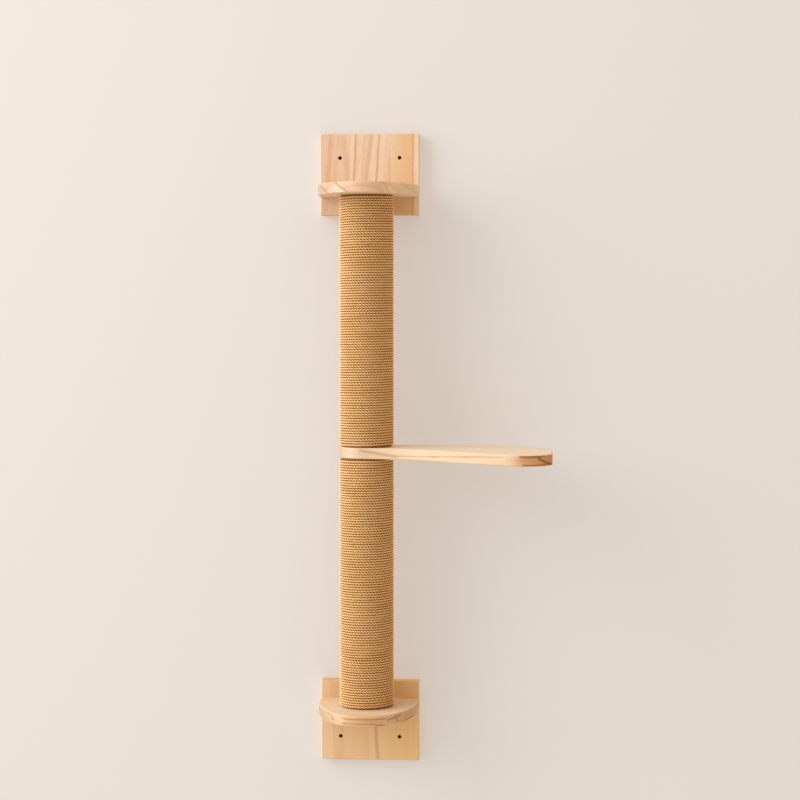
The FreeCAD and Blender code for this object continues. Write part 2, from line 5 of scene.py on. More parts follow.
import bpy
from mathutils import Euler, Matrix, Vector, noise

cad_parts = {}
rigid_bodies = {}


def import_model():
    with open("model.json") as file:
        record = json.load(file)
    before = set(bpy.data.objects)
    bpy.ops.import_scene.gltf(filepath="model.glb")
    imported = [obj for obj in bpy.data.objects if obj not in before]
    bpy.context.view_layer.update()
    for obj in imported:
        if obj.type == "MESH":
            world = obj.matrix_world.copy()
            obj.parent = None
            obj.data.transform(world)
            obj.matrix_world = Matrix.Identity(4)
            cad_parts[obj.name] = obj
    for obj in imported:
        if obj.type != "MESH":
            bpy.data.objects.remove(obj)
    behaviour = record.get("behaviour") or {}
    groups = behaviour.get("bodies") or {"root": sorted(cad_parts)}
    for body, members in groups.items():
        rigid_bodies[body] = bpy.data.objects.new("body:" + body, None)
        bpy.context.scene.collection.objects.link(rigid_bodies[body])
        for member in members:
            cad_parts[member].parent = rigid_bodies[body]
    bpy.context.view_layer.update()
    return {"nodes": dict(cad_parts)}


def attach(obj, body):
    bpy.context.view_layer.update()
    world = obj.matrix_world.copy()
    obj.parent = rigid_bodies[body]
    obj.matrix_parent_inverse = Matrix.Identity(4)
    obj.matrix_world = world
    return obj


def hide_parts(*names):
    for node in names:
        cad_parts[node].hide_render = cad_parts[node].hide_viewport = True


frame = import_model()


# Wall plates: two upright blocks of radiata pine that carry the whole post on the wall.
# Planed on all sides, the arrises eased with sandpaper, two screw holes drilled through each,
# and left with a thin coat of matt oil that lets the wide growth rings show.
PLATE_HEIGHT = 0.4375
PLATE_HALF_WIDTH = 0.07875
WALL_HOLE_RADIUS = 0.003
WALL_HOLE_ACROSS = 0.0475
WALL_HOLE_HEIGHT = 0.464


def paint(red, green, blue):
    """A colour given on a 0 to 255 scale, as the shader's linear values."""
    linear = []
    for part in (red, green, blue):
        share = part / 255
        if share <= 0.04045:
            linear.append(share / 12.92)
        else:
            linear.append(((share + 0.055) / 1.055) ** 2.4)
    return (*linear, 1.0)


def feed(tree, socket, source):
    """Links an output to a socket, or sets a plain value on it."""
    if isinstance(source, bpy.types.NodeSocket):
        tree.links.new(source, socket)
    else:
        socket.default_value = source


def maths(tree, operation, *values):
    """One sum, with plain values or the outputs of other nodes."""
    node = tree.nodes.new("ShaderNodeMath")
    node.operation = operation
    for socket, value in zip(node.inputs, values):
        feed(tree, socket, value)
    return node.outputs["Value"]


def vector_maths(tree, operation, *values):
    """One sum with vectors. What comes out is a value where the sum gives one, and else a vector."""
    node = tree.nodes.new("ShaderNodeVectorMath")
    node.operation = operation
    for socket, value in zip(node.inputs, values):
        feed(tree, socket, value)
    if operation in ("LENGTH", "DOT_PRODUCT", "DISTANCE"):
        return node.outputs["Value"]
    return node.outputs["Vector"]


def scaled(tree, vector, amount):
    """A vector made longer or shorter by an amount."""
    node = tree.nodes.new("ShaderNodeVectorMath")
    node.operation = "SCALE"
    feed(tree, node.inputs["Vector"], vector)
    feed(tree, node.inputs["Scale"], amount)
    return node.outputs["Vector"]


def speckle(tree, place, grain, shift=None, detail=2.0, roughness=0.5):
    """A node of soft noise, with a value and a colour from 0 to 1. grain is how many lumps of it lie in one
    unit of each direction, and shift moves it to another part of the noise."""
    spot = vector_maths(tree, "MULTIPLY", place, grain)
    if shift is not None:
        spot = vector_maths(tree, "ADD", spot, shift)
    node = tree.nodes.new("ShaderNodeTexNoise")
    tree.links.new(spot, node.inputs["Vector"])
    node.inputs["Scale"].default_value = 1.0
    node.inputs["Detail"].default_value = detail
    node.inputs["Roughness"].default_value = roughness
    return node


def blend_in(tree, value, start, end, low=0.0, high=1.0):
    """Goes softly from low to high while the value goes from start to end."""
    node = tree.nodes.new("ShaderNodeMapRange")
    node.interpolation_type = "SMOOTHSTEP"
    feed(tree, node.inputs["Value"], value)
    feed(tree, node.inputs["From Min"], start)
    feed(tree, node.inputs["From Max"], end)
    feed(tree, node.inputs["To Min"], low)
    feed(tree, node.inputs["To Max"], high)
    return node.outputs["Result"]


def mix_paint(tree, way, amount, first, second):
    """Two colours mixed, or one laid over the other, by an amount from 0 to 1."""
    node = tree.nodes.new("ShaderNodeMix")
    node.data_type = "RGBA"
    node.blend_type = way
    feed(tree, node.inputs[0], amount)
    feed(tree, node.inputs[6], first)
    feed(tree, node.inputs[7], second)
    return node.outputs[2]


def colour_steps(tree, value, steps):
    """A colour ramp with its colours at the given shares of the way."""
    node = tree.nodes.new("ShaderNodeValToRGB")
    elements = node.color_ramp.elements
    while len(elements) < len(steps):
        elements.new(0.5)
    for element, (share, colour) in zip(elements, steps):
        element.position = share
    for element, (share, colour) in zip(elements, steps):
        element.color = colour
    feed(tree, node.inputs["Fac"], value)
    return node.outputs["Color"]


def new_group(name, inputs, outputs):
    """An empty shader group with named sockets, and its two end nodes."""
    group = bpy.data.node_groups.new(name, "ShaderNodeTree")
    for label, kind, value in inputs:
        socket = group.interface.new_socket(label, in_out="INPUT", socket_type=kind)
        if value is not None:
            socket.default_value = value
    for label, kind in outputs:
        group.interface.new_socket(label, in_out="OUTPUT", socket_type=kind)
    return group, group.nodes.new("NodeGroupInput"), group.nodes.new("NodeGroupOutput")


def place_group(tree, group, **values):
    """Puts a shared group into a material. Its inputs are named with underscores in place of spaces."""
    node = tree.nodes.new("ShaderNodeGroup")
    node.node_tree = group
    for label, value in values.items():
        feed(tree, node.inputs[label.replace("_", " ").capitalize()], value)
    return node.outputs


def new_material(name):
    """A material with nothing but its Principled shader and its output."""
    material = bpy.data.materials.new(name)
    material.use_nodes = True
    tree = material.node_tree
    return material, tree, tree.nodes["Principled BSDF"]


def give_bump(tree, shader, height, strength, depth):
    """Fine relief that is too small to model."""
    bump = tree.nodes.new("ShaderNodeBump")
    bump.inputs["Strength"].default_value = strength
    bump.inputs["Distance"].default_value = depth
    feed(tree, bump.inputs["Height"], height)
    tree.links.new(bump.outputs["Normal"], shader.inputs["Normal"])


def dress(node_name, material):
    """Gives a part of the frame its finish, in every slot of its object."""
    part = frame["nodes"][node_name]
    if not part.material_slots:
        part.data.materials.append(material)
    for slot in part.material_slots:
        slot.material = material


VALUE = "NodeSocketFloat"
VECTOR = "NodeSocketVector"
NOISE_MIDDLE = (0.5, 0.5, 0.5)
ACROSS_LOG = (1.0, 1.0, 0.0)
SEEN_FROM_FRONT = (1.0, 0.0, 1.0)
UPWARDS = (0.0, 0.0, 1.0)
BEND_GRAIN = (16.0, 16.0, 4.5)
BEND_REACH = 2.6
RIPPLE_GRAIN = (90.0, 90.0, 12.0)
RIPPLE_IN_RINGS = 0.22
SEASON_GRAIN = (0.45, 1.0, 0.0)
SEASON_IN_RINGS = 1.5
LATE_WOOD_CURVE = 1.8
STREAK_GRAIN = (1300.0, 1300.0, 24.0)
CLOUD_GRAIN = (34.0, 34.0, 7.0)
DASH_GRAIN = (1700.0, 1700.0, 120.0)
KNOT_GRAIN = (400.0, 400.0, 400.0)
KNOT_RAGGED_SHARE = 0.5
KNOT_SWELL = 1.4
WAVER_GRAIN = (70.0, 0.0, 70.0)
WAVER_REACH = 2.0
LINE_END_FADE = 0.12

# Growth rings of a pine log about its pith, with the log's length along the third direction.
pine_figure, log_in, log_out = new_group(
    "pine_figure",
    [("Log place", VECTOR, None), ("Ring width", VALUE, 0.012), ("Wander", VALUE, 0.004),
     ("Swell", VALUE, 0.0), ("Seed", VALUE, 0.0)],
    [("Late wood", VALUE), ("Fibre", VALUE), ("Cloud", VALUE), ("Dash", VALUE),
     ("Across", VALUE), ("Depth", VALUE), ("Length", VALUE)])
log_place = log_in.outputs["Log place"]
log_seed = log_in.outputs["Seed"]
slow_noise = speckle(pine_figure, log_place, BEND_GRAIN, log_seed, detail=1.5).outputs["Color"]
bend = vector_maths(pine_figure, "SUBTRACT", slow_noise, NOISE_MIDDLE)
bend_size = maths(pine_figure, "MULTIPLY", log_in.outputs["Wander"], BEND_REACH)
bent_place = vector_maths(pine_figure, "ADD", log_place, scaled(pine_figure, bend, bend_size))
flat_place = vector_maths(pine_figure, "MULTIPLY", bent_place, ACROSS_LOG)
pith_distance = vector_maths(pine_figure, "LENGTH", flat_place)
pith_distance = maths(pine_figure, "ADD", pith_distance, log_in.outputs["Swell"])
ring_count = maths(pine_figure, "DIVIDE", pith_distance, log_in.outputs["Ring width"])
ripple = speckle(pine_figure, log_place, RIPPLE_GRAIN).outputs["Fac"]
ring_count = maths(pine_figure, "MULTIPLY_ADD", ripple, RIPPLE_IN_RINGS, ring_count)
season_place = pine_figure.nodes.new("ShaderNodeCombineXYZ")
pine_figure.links.new(ring_count, season_place.inputs["X"])
pine_figure.links.new(log_seed, season_place.inputs["Y"])
season = speckle(pine_figure, season_place.outputs["Vector"], SEASON_GRAIN, detail=0.0).outputs["Fac"]
ring_count = maths(pine_figure, "MULTIPLY_ADD", season, SEASON_IN_RINGS, ring_count)
ring_share = maths(pine_figure, "FRACT", ring_count)
ring_number = maths(pine_figure, "FLOOR", ring_count)
ring_luck = pine_figure.nodes.new("ShaderNodeTexWhiteNoise")
ring_luck.noise_dimensions = "1D"
pine_figure.links.new(maths(pine_figure, "ADD", ring_number, log_seed), ring_luck.inputs["W"])
ring_strength = blend_in(pine_figure, ring_luck.outputs["Value"], 0.0, 1.0, 0.25, 1.0)
late_rise = blend_in(pine_figure, ring_share, 0.25, 0.93)
late_rise = maths(pine_figure, "POWER", late_rise, LATE_WOOD_CURVE)
late_fall = blend_in(pine_figure, ring_share, 0.91, 1.0, 1.0, 0.0)
late_wood = maths(pine_figure, "MULTIPLY", late_rise, late_fall)
late_wood = maths(pine_figure, "MULTIPLY", late_wood, ring_strength)
fibre_noise = speckle(pine_figure, log_place, STREAK_GRAIN, detail=3.0, roughness=0.6).outputs["Fac"]
cloud_noise = speckle(pine_figure, log_place, CLOUD_GRAIN, log_seed, detail=3.0).outputs["Fac"]
dash_noise = speckle(pine_figure, log_place, DASH_GRAIN, detail=0.0).outputs["Fac"]
dash_mask = blend_in(pine_figure, dash_noise, 0.70, 0.80)
bent_parts = pine_figure.nodes.new("ShaderNodeSeparateXYZ")
pine_figure.links.new(bent_place, bent_parts.inputs["Vector"])
pine_figure.links.new(late_wood, log_out.inputs["Late wood"])
pine_figure.links.new(fibre_noise, log_out.inputs["Fibre"])
pine_figure.links.new(cloud_noise, log_out.inputs["Cloud"])
pine_figure.links.new(dash_mask, log_out.inputs["Dash"])
pine_figure.links.new(bent_parts.outputs["X"], log_out.inputs["Across"])
pine_figure.links.new(bent_parts.outputs["Y"], log_out.inputs["Depth"])
pine_figure.links.new(bent_parts.outputs["Z"], log_out.inputs["Length"])

# A branch that runs through the board: its dark heart, and the swell of the rings around it.
pine_knot, knot_in, knot_out = new_group(
    "pine_knot",
    [("Board place", VECTOR, None), ("Centre", VECTOR, None), ("Branch", VECTOR, (0.0, 1.0, 0.0)),
     ("Radius", VALUE, 0.003)],
    [("Knot", VALUE), ("Halo", VALUE)])
knot_place = knot_in.outputs["Board place"]
knot_offset = vector_maths(pine_knot, "SUBTRACT", knot_place, knot_in.outputs["Centre"])
knot_cross = vector_maths(pine_knot, "CROSS_PRODUCT", knot_offset, knot_in.outputs["Branch"])
knot_distance = vector_maths(pine_knot, "LENGTH", knot_cross)
knot_share = maths(pine_knot, "DIVIDE", knot_distance, knot_in.outputs["Radius"])
knot_ragged = speckle(pine_knot, knot_place, KNOT_GRAIN).outputs["Fac"]
knot_share = maths(pine_knot, "MULTIPLY_ADD", knot_ragged, KNOT_RAGGED_SHARE, knot_share)
pine_knot.links.new(blend_in(pine_knot, knot_share, 0.75, 1.35, 1.0, 0.0), knot_out.inputs["Knot"])
pine_knot.links.new(blend_in(pine_knot, knot_share, 0.8, 4.0, 1.0, 0.0), knot_out.inputs["Halo"])

# One growth line that stands out, drawn across the front and running straight back through the board.
growth_line, line_in, line_out = new_group(
    "growth_line",
    [("Board place", VECTOR, None), ("Start", VECTOR, None), ("End", VECTOR, None),
     ("Width", VALUE, 0.002), ("Waver", VALUE, 0.001)],
    [("Line", VALUE)])
line_place = line_in.outputs["Board place"]
waver_noise = speckle(growth_line, line_place, WAVER_GRAIN).outputs["Color"]
waver_shift = vector_maths(growth_line, "SUBTRACT", waver_noise, NOISE_MIDDLE)
waver_size = maths(growth_line, "MULTIPLY", line_in.outputs["Waver"], WAVER_REACH)
waver_shift = scaled(growth_line, waver_shift, waver_size)
line_spot = vector_maths(growth_line, "ADD", line_place, waver_shift)
line_offset = vector_maths(growth_line, "SUBTRACT", line_spot, line_in.outputs["Start"])
line_offset = vector_maths(growth_line, "MULTIPLY", line_offset, SEEN_FROM_FRONT)
line_run = vector_maths(growth_line, "SUBTRACT", line_in.outputs["End"], line_in.outputs["Start"])
line_run = vector_maths(growth_line, "MULTIPLY", line_run, SEEN_FROM_FRONT)
run_square = vector_maths(growth_line, "DOT_PRODUCT", line_run, line_run)
run_share = vector_maths(growth_line, "DOT_PRODUCT", line_offset, line_run)
run_share = maths(growth_line, "DIVIDE", run_share, run_square)
run_held = maths(growth_line, "MINIMUM", maths(growth_line, "MAXIMUM", run_share, 0.0), 1.0)
line_miss = vector_maths(growth_line, "DISTANCE", line_offset, scaled(growth_line, line_run, run_held))
line_share = maths(growth_line, "DIVIDE", line_miss, line_in.outputs["Width"])
fade_in = blend_in(growth_line, run_held, 0.0, LINE_END_FADE)
fade_out = blend_in(growth_line, run_held, 1.0 - LINE_END_FADE, 1.0, 1.0, 0.0)
end_fade = maths(growth_line, "MULTIPLY", fade_in, fade_out)
line_mask = blend_in(growth_line, line_share, 0.1, 0.6, 1.0, 0.0)
growth_line.links.new(maths(growth_line, "MULTIPLY", line_mask, end_fade), line_out.inputs["Line"])

CLOUD_TINT = paint(250, 243, 235)
STREAK_TINT = paint(244, 235, 223)
DASH_TINT = paint(210, 180, 146)
END_GRAIN_TINT = paint(222, 195, 162)
KNOT_HEART = paint(128, 82, 48)
PAINTED_BORE_SHADE = paint(172, 98, 44)
BORE_EDGE = 1.06
FAR_END_BLEND = 0.025
PINE_GLOSS = 0.35
PINE_RELIEF = 0.0003


def pine_board(name, turn, pith, ring_width, wander, seed, tones, late_tint, knots=(), lines=(), bores=(),
               tone_way="Across", face_tone=None, far_end_grain_and_shade=None):
    """Solid pine. turn lays the log's length along the grain and pith is a point on the log's heart.
    tones are pairs of a point on the board and the colour of its early wood there, and face_tone is one
    colour for all of its top and underside. knots have a centre, the branch's way and a radius.
    lines have a start, an end, a width, a waver, a colour and an amount, and show on upright sides only.
    bores have a centre and a radius, and run from front to back; their walls are painted dark as painted
    shade.
    The last argument gives where along the grain the last end begins, and the tint laid on it: partly its
    end grain's darker tone, partly painted shade on the faces turned from the lamp."""
    material, tree, shader = new_material(name)
    coordinates = tree.nodes.new("ShaderNodeTexCoord")
    board_place = coordinates.outputs["Object"]
    log_turn = Euler(turn)
    heart = Vector(pith)
    heart.rotate(log_turn)
    log_mapping = tree.nodes.new("ShaderNodeMapping")
    log_mapping.inputs["Rotation"].default_value = turn
    log_mapping.inputs["Location"].default_value = -heart
    tree.links.new(board_place, log_mapping.inputs["Vector"])
    swell = 0.0
    knot_mask = 0.0
    for centre, branch, radius in knots:
        marks = place_group(tree, pine_knot, board_place=board_place, centre=centre, branch=branch,
                            radius=radius)
        knot_mask = maths(tree, "MAXIMUM", knot_mask, marks["Knot"])
        swell = maths(tree, "MULTIPLY_ADD", marks["Halo"], radius * KNOT_SWELL, swell)
    figure = place_group(tree, pine_figure, log_place=log_mapping.outputs["Vector"], ring_width=ring_width,
                         wander=wander, swell=swell, seed=seed)
    tone_axis = ("Across", "Depth", "Length").index(tone_way)
    tone_marks = []
    for point, colour in tones:
        spot = Vector(point)
        spot.rotate(log_turn)
        tone_marks.append(((spot - heart)[tone_axis], colour))
    tone_marks.sort(key=lambda mark: mark[0])
    first_mark = tone_marks[0][0]
    last_mark = tone_marks[-1][0]
    tone_spread = tree.nodes.new("ShaderNodeMapRange")
    tree.links.new(figure[tone_way], tone_spread.inputs["Value"])
    tone_spread.inputs["From Min"].default_value = first_mark
    tone_spread.inputs["From Max"].default_value = last_mark
    tone_steps = []
    for mark, colour in tone_marks:
        tone_steps.append(((mark - first_mark) / (last_mark - first_mark), colour))
    early = colour_steps(tree, tone_spread.outputs["Result"], tone_steps)
    edge_share = vector_maths(tree, "DOT_PRODUCT", coordinates.outputs["Normal"], UPWARDS)
    edge_share = blend_in(tree, maths(tree, "ABSOLUTE", edge_share), 0.45, 0.9, 1.0, 0.0)
    if face_tone:
        early = mix_paint(tree, "MIX", edge_share, face_tone, early)
    late = mix_paint(tree, "MULTIPLY", 1.0, early, late_tint)
    wood = mix_paint(tree, "MIX", figure["Late wood"], early, late)
    for start, end, width, waver, colour, amount in lines:
        mark = place_group(tree, growth_line, board_place=board_place, start=start, end=end, width=width,
                           waver=waver)
        mark_share = maths(tree, "MULTIPLY", maths(tree, "MULTIPLY", mark["Line"], amount), edge_share)
        wood = mix_paint(tree, "MIX", mark_share, wood, colour)
    cloud = blend_in(tree, figure["Cloud"], 0.3, 0.8, 0.0, 0.5)
    wood = mix_paint(tree, "MULTIPLY", cloud, wood, CLOUD_TINT)
    streak = blend_in(tree, figure["Fibre"], 0.35, 0.75, 0.0, 0.5)
    wood = mix_paint(tree, "MULTIPLY", streak, wood, STREAK_TINT)
    dash = maths(tree, "MULTIPLY", figure["Dash"], 0.25)
    wood = mix_paint(tree, "MULTIPLY", dash, wood, DASH_TINT)
    grain_axis = Vector(UPWARDS)
    grain_axis.rotate(log_turn.to_matrix().inverted())
    end_turn = vector_maths(tree, "DOT_PRODUCT", coordinates.outputs["Normal"], tuple(grain_axis))
    end_share = blend_in(tree, maths(tree, "ABSOLUTE", end_turn), 0.55, 0.98, 0.0, 0.75)
    wood = mix_paint(tree, "MULTIPLY", end_share, wood, END_GRAIN_TINT)
    # The far end's upright faces are darkened partly for their end grain and partly by painted shade away
    # from the lamp.
    if far_end_grain_and_shade:
        end_start, end_grain_and_shade_tint = far_end_grain_and_shade
        far_grain_and_shade_share = vector_maths(tree, "DOT_PRODUCT", board_place, tuple(grain_axis))
        far_grain_and_shade_share = blend_in(tree, far_grain_and_shade_share, end_start, end_start + FAR_END_BLEND)
        far_grain_and_shade_share = maths(tree, "MULTIPLY", far_grain_and_shade_share, blend_in(tree, end_turn, -0.42, 0.12))
        far_grain_and_shade_share = maths(tree, "MULTIPLY", far_grain_and_shade_share, edge_share)
        wood = mix_paint(tree, "MULTIPLY", far_grain_and_shade_share, wood, end_grain_and_shade_tint)
    if knots:
        wood = mix_paint(tree, "MIX", maths(tree, "MULTIPLY", knot_mask, 0.8), wood, KNOT_HEART)
    # Painted shade: the wall of each bore is painted dark brown, for the shade inside the hole.
    for centre, radius in bores:
        bore_offset = vector_maths(tree, "SUBTRACT", board_place, centre)
        bore_offset = vector_maths(tree, "MULTIPLY", bore_offset, SEEN_FROM_FRONT)
        bore_distance = vector_maths(tree, "LENGTH", bore_offset)
        bore_shade_mask = blend_in(tree, bore_distance, radius, radius * BORE_EDGE, 0.92, 0.0)
        wood = mix_paint(tree, "MIX", bore_shade_mask, wood, PAINTED_BORE_SHADE)
    tree.links.new(wood, shader.inputs["Base Color"])
    rough = blend_in(tree, figure["Fibre"], 0.2, 0.8, 0.52, 0.68)
    rough = maths(tree, "MULTIPLY_ADD", figure["Late wood"], -0.07, rough)
    tree.links.new(rough, shader.inputs["Roughness"])
    shader.inputs["Specular IOR Level"].default_value = PINE_GLOSS
    height = maths(tree, "MULTIPLY_ADD", figure["Late wood"], 0.6, figure["Fibre"])
    give_bump(tree, shader, height, 0.3, PINE_RELIEF)
    return material


PLATE_LINE = paint(213, 170, 129)
PLATE_BAND = paint(221, 184, 150)
PLATE_CREAM = paint(238, 217, 190)
upper_plate_pine = pine_board(
    "upper_plate_pine", turn=(0.0, math.radians(-5.0), 0.0), pith=(0.062, 0.058, PLATE_HEIGHT),
    ring_width=0.0150, wander=0.0045, seed=3.7, late_tint=paint(247, 233, 215),
    tones=[((-PLATE_HALF_WIDTH, 0.0, PLATE_HEIGHT), paint(229, 199, 171)),
           ((-0.034, 0.0, PLATE_HEIGHT), paint(233, 206, 180)),
           ((0.010, 0.0, PLATE_HEIGHT), paint(238, 216, 194)),
           ((0.028, 0.0, PLATE_HEIGHT), paint(236, 211, 184)),
           ((0.050, 0.0, PLATE_HEIGHT), paint(234, 199, 158)),
           ((PLATE_HALF_WIDTH, 0.0, PLATE_HEIGHT), paint(232, 193, 145))],
    lines=[((-0.0600, 0.0, 0.510), (-0.0705, 0.0, 0.365), 0.009, 0.0016, PLATE_BAND, 0.75),
           ((-0.0425, 0.0, 0.510), (-0.0300, 0.0, 0.365), 0.013, 0.0020, PLATE_BAND, 0.70),
           ((-0.0255, 0.0, 0.515), (-0.0335, 0.0, 0.360), 0.008, 0.0010, PLATE_CREAM, 0.90),
           ((-0.0208, 0.0, 0.515), (-0.0288, 0.0, 0.360), 0.0042, 0.0008, PLATE_LINE, 0.85),
           ((0.0040, 0.0, 0.512), (-0.0140, 0.0, 0.365), 0.010, 0.0016, PLATE_BAND, 0.85),
           ((0.0115, 0.0, 0.515), (0.0020, 0.0, 0.360), 0.008, 0.0012, PLATE_CREAM, 0.90),
           ((0.0162, 0.0, 0.515), (0.0065, 0.0, 0.360), 0.0048, 0.0010, PLATE_LINE, 0.80),
           ((0.0320, 0.0, 0.470), (0.0300, 0.0, 0.395), 0.0040, 0.0010, PLATE_LINE, 0.55),
           ((0.0690, 0.0, 0.530), (0.0690, 0.0, 0.340), 0.0042, 0.0006, paint(206, 152, 100), 0.85),
           ((0.0760, 0.0, 0.560), (0.0760, 0.0, 0.310), 0.0165, 0.0006, PLATE_CREAM, 1.0)],
    bores=[((side * WALL_HOLE_ACROSS, 0.0, WALL_HOLE_HEIGHT), WALL_HOLE_RADIUS) for side in (-1, 1)])
lower_plate_pine = pine_board(
    "lower_plate_pine", turn=(0.0, math.radians(1.5), 0.0), pith=(-0.030, 0.110, -PLATE_HEIGHT),
    ring_width=0.019, wander=0.004, seed=11.2, late_tint=paint(250, 240, 227),
    tones=[((-PLATE_HALF_WIDTH, 0.0, -PLATE_HEIGHT), paint(233, 202, 166)),
           ((-0.040, 0.0, -PLATE_HEIGHT), paint(232, 199, 160)),
           ((0.012, 0.0, -PLATE_HEIGHT), paint(236, 202, 158)),
           ((0.030, 0.0, -PLATE_HEIGHT), paint(234, 197, 146)),
           ((PLATE_HALF_WIDTH, 0.0, -PLATE_HEIGHT), paint(235, 197, 145))],
    lines=[((-0.0410, 0.0, -0.365), (-0.0475, 0.0, -0.515), 0.010, 0.0015, paint(221, 175, 129), 0.40),
           ((0.0020, 0.0, -0.360), (0.0140, 0.0, -0.520), 0.0075, 0.0010, paint(206, 156, 104), 0.65),
           ((0.0070, 0.0, -0.360), (0.0190, 0.0, -0.520), 0.0060, 0.0010, paint(231, 194, 150), 0.50)],
    bores=[((side * WALL_HOLE_ACROSS, 0.0, -WALL_HOLE_HEIGHT), WALL_HOLE_RADIUS) for side in (-1, 1)])
dress("upper_wall_plate", upper_plate_pine)
dress("lower_wall_plate", lower_plate_pine)


# Bracket boards: half-oval shelves of the same pine, band-sawn and sanded round their front edge.
# The grain runs from side to side, so long ring lines show along the edge and end grain at the sides.
# Each is glued on two dowels and held by two screws from behind its plate.
BRACKET_HEIGHT = 0.410
EDGE_LINE = paint(169, 119, 79)
upper_bracket_pine = pine_board(
    "upper_bracket_pine", turn=(0.0, math.radians(-93.0), math.radians(2.0)), pith=(0.0, -0.060, 0.560),
    ring_width=0.0150, wander=0.0035, seed=21.5, late_tint=paint(248, 236, 220), tone_way="Length",
    face_tone=paint(228, 199, 166),
    tones=[((-0.079, -0.090, BRACKET_HEIGHT), paint(217, 204, 193)),
           ((-0.028, -0.090, BRACKET_HEIGHT), paint(228, 205, 183)),
           ((-0.012, -0.090, BRACKET_HEIGHT), paint(228, 195, 164)),
           ((0.030, -0.090, BRACKET_HEIGHT), paint(228, 195, 163)),
           # The two palest tones at the right end are partly the wood's paler tone and partly painted light
           # on the end turned from the lamp.
           ((0.044, -0.090, BRACKET_HEIGHT), paint(251, 237, 213)),
           ((0.079, -0.090, BRACKET_HEIGHT), paint(253, 241, 220))],
    lines=[((-0.0455, 0.0, 0.4205), (-0.0190, 0.0, 0.4005), 0.0056, 0.0016, EDGE_LINE, 0.62),
           ((-0.0360, 0.0, 0.4205), (-0.0120, 0.0, 0.4020), 0.0050, 0.0014, paint(204, 160, 121), 0.5),
           ((-0.0700, 0.0, 0.4150), (-0.0520, 0.0, 0.4005), 0.0046, 0.0012, EDGE_LINE, 0.5),
           ((0.0330, 0.0, 0.4200), (0.0420, 0.0, 0.4000), 0.0070, 0.0014, paint(214, 173, 133), 0.4)])
lower_bracket_pine = pine_board(
    "lower_bracket_pine", turn=(0.0, math.radians(-90.0), 0.0), pith=(0.0, -0.060, -0.600),
    ring_width=0.0160, wander=0.0035, seed=33.1, late_tint=paint(247, 234, 216), tone_way="Depth",
    knots=[((-0.048, -0.1387, -0.4105), (0.35, 0.93, 0.05), 0.0020)],
    tones=[((0.0, -0.165, -BRACKET_HEIGHT), paint(223, 186, 145)),
           ((0.0, -0.150, -BRACKET_HEIGHT), paint(226, 195, 162)),
           ((0.0, -0.120, -BRACKET_HEIGHT), paint(226, 203, 175)),
           ((0.0, -0.060, -BRACKET_HEIGHT), paint(225, 199, 166)),
           ((0.0, -0.017, -BRACKET_HEIGHT), paint(223, 191, 153))],
    lines=[((-0.0340, 0.0, -0.4068), (0.0420, 0.0, -0.4068), 0.0034, 0.0009, EDGE_LINE, 0.80),
           ((-0.0340, 0.0, -0.4142), (0.0180, 0.0, -0.4138), 0.0030, 0.0006, EDGE_LINE, 0.90),
           ((0.0120, 0.0, -0.4135), (0.0420, 0.0, -0.4190), 0.0030, 0.0006, EDGE_LINE, 0.85),
           ((0.0365, 0.0, -0.4098), (0.0590, 0.0, -0.4055), 0.0026, 0.0005, EDGE_LINE, 0.95),
           ((0.0500, 0.0, -0.4070), (0.0530, 0.0, -0.4160), 0.0022, 0.0004, EDGE_LINE, 0.75),
           ((0.0500, 0.0, -0.4195), (0.0760, 0.0, -0.4145), 0.0026, 0.0006, EDGE_LINE, 0.85),
           ((-0.0300, 0.0, -0.4105), (0.0360, 0.0, -0.4105), 0.0100, 0.0008, paint(214, 167, 121), 0.6)])
dress("upper_bracket_board", upper_bracket_pine)
dress("lower_bracket_board", lower_bracket_pine)


# Bracket dowels: fluted beech pegs between plate and bracket board, glued and out of sight.
# Beech has no wide rings, only short dark flecks along a plain tan ground.
HALVES = ("upper", "lower")
FLECK_GRAIN = (900.0, 900.0, 240.0)
BEECH_CLOUD_GRAIN = (60.0, 60.0, 25.0)
BEECH_LIGHT = paint(226, 190, 150)
BEECH_DARK = paint(208, 168, 126)
BEECH_FLECK = paint(176, 128, 86)
BEECH_RELIEF = 0.0002
beech, beech_tree, beech_shader = new_material("beech")
beech_place = beech_tree.nodes.new("ShaderNodeTexCoord").outputs["Object"]
fleck = speckle(beech_tree, beech_place, FLECK_GRAIN).outputs["Fac"]
fleck_mask = blend_in(beech_tree, fleck, 0.52, 0.70)
beech_cloud = speckle(beech_tree, beech_place, BEECH_CLOUD_GRAIN).outputs["Fac"]
beech_ground = mix_paint(beech_tree, "MIX", beech_cloud, BEECH_LIGHT, BEECH_DARK)
beech_colour = mix_paint(beech_tree, "MIX", fleck_mask, beech_ground, BEECH_FLECK)
beech_tree.links.new(beech_colour, beech_shader.inputs["Base Color"])
beech_rough = blend_in(beech_tree, fleck, 0.3, 0.7, 0.55, 0.7)
beech_tree.links.new(beech_rough, beech_shader.inputs["Roughness"])
give_bump(beech_tree, beech_shader, fleck, 0.25, BEECH_RELIEF)
for half in HALVES:
    dress(f"{half}_bracket_dowels", beech)


